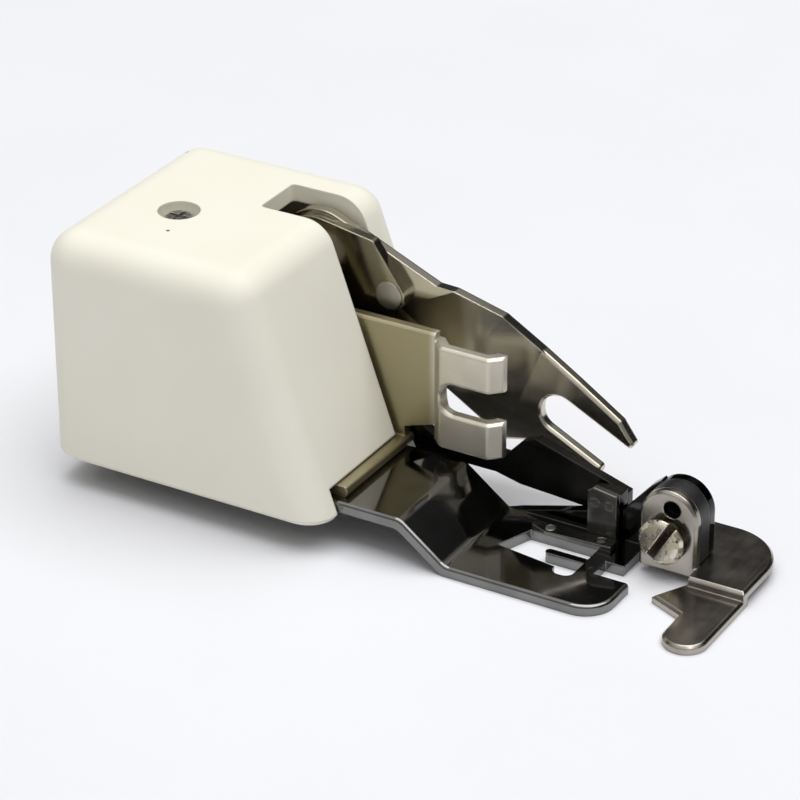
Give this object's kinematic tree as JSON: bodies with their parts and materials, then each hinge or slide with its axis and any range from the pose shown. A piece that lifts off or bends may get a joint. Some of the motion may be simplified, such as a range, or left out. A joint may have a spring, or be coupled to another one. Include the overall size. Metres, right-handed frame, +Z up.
{
  "type": "side cutter presser foot",
  "caption": "Low-shank side cutter presser foot: folded sole, hooked shank bracket, fork lever that drives a moving knife past a fixed one, moulded cover and front seam guide.",
  "frame": {"origin": "middle of the whole foot's box, on the level of the sole's underside", "axes": "+Y from the seam guide towards the housing, +Z up, +X from the sole's open edge to the knife side"},
  "size_m": [0.03, 0.0772, 0.03],
  "materials": {
    "cream_plastic": "gloss",
    "zinc": "satin",
    "chrome_plate": "polished",
    "nickel": "polished",
    "dark_steel": "satin",
    "knife_steel": "satin",
    "guide_steel": "satin",
    "black_plastic": "matt",
    "worn_brass": "worn"
  },
  "bodies": {
    "frame": {"housing": "cream_plastic", "housing_screw": "zinc", "housing_post": "zinc", "base_plate": "chrome_plate", "shank_bracket": "nickel", "bracket_rivets": "zinc", "lever_pivot": "zinc", "lever_clip": "zinc", "lever_bush": "zinc", "knife_pivot": "zinc", "knife_clip": "zinc", "knife_washer": "zinc", "lower_knife": "knife_steel", "lower_knife_rivets": "zinc", "guide_plate": "guide_steel", "guide_holder": "black_plastic", "guide_screw": "worn_brass", "guide_nut": "zinc"},
    "fork": {"fork_lever": "nickel", "crank_plate": "nickel", "crank_rivet": "zinc", "drive_pin": "zinc"},
    "knife": {"knife_lever": "dark_steel", "upper_knife": "knife_steel", "blade_spacer": "dark_steel", "blade_rivets": "zinc"}
  },
  "joints": [
    {"name": "fork_hinge", "type": "hinge", "parent": "frame", "child": "fork", "pos_m": [0.0073, 0.017, 0.0235], "axis": [-1, 0, 0], "range_deg": [0, 35]},
    {"name": "knife_hinge", "type": "hinge", "parent": "frame", "child": "knife", "pos_m": [0.0053, 0.022, 0.0095], "axis": [-1, 0, 0], "range_deg": [0, 6]}
  ],
  "couplings": [
    {"joint": "knife_hinge", "follows": "fork_hinge", "ratio": 0.1714}
  ]
}
